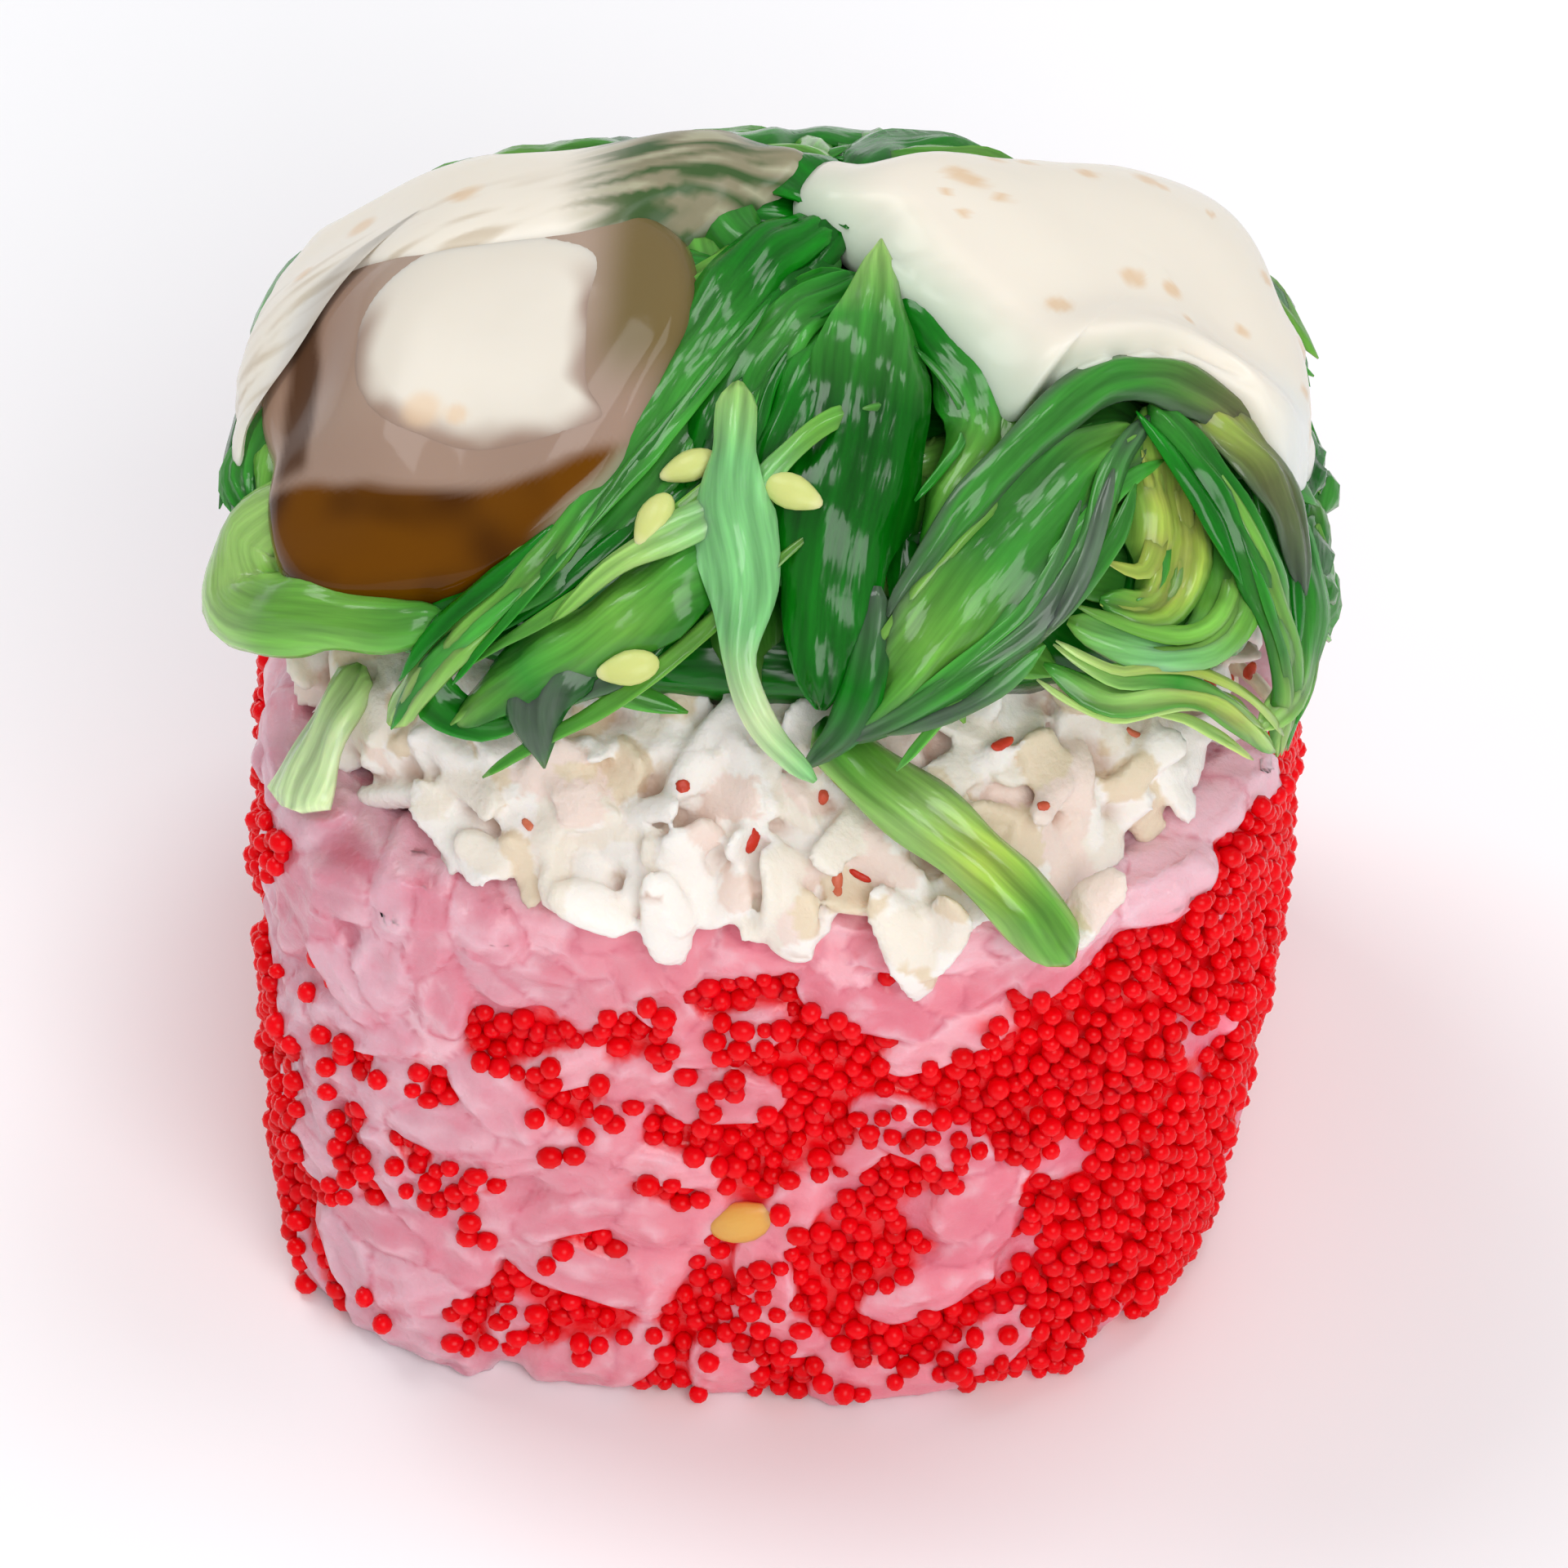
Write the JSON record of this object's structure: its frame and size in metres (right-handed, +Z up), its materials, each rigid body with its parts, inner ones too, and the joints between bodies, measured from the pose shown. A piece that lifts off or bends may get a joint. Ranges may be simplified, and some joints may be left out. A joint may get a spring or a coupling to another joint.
{
  "type": "inside-out sushi roll piece",
  "caption": "Piece of inside-out sushi roll coated in red roe, topped with crab salad, seaweed salad and brown and cream sauces.",
  "frame": {"origin": "on the flat base that the piece stands on, at the middle of the rice block", "axes": "+Z up, -Y is the front face shown, +X is to the right seen from the front"},
  "size_m": [0.0403, 0.0397, 0.0462],
  "materials": {
    "rice": "moist cooked rice, stained pink by the roe",
    "roe": "wet red roe beads",
    "crab_salad": "moist shredded crab bound with mayonnaise",
    "seaweed": "wet glossy green seaweed",
    "sesame": "satin seed coat",
    "cream_sauce": "smooth glossy cream sauce",
    "brown_sauce": "clear glossy brown sauce"
  },
  "bodies": {
    "root": {"rice_roll": "rice", "crab_salad": "crab_salad", "seaweed_salad": "seaweed", "seaweed_strip_front": "seaweed", "seaweed_strip_left": "seaweed", "brown_sauce": "brown_sauce", "cream_sauce_left": "cream_sauce", "cream_sauce_right": "cream_sauce"}
  },
  "joints": []
}
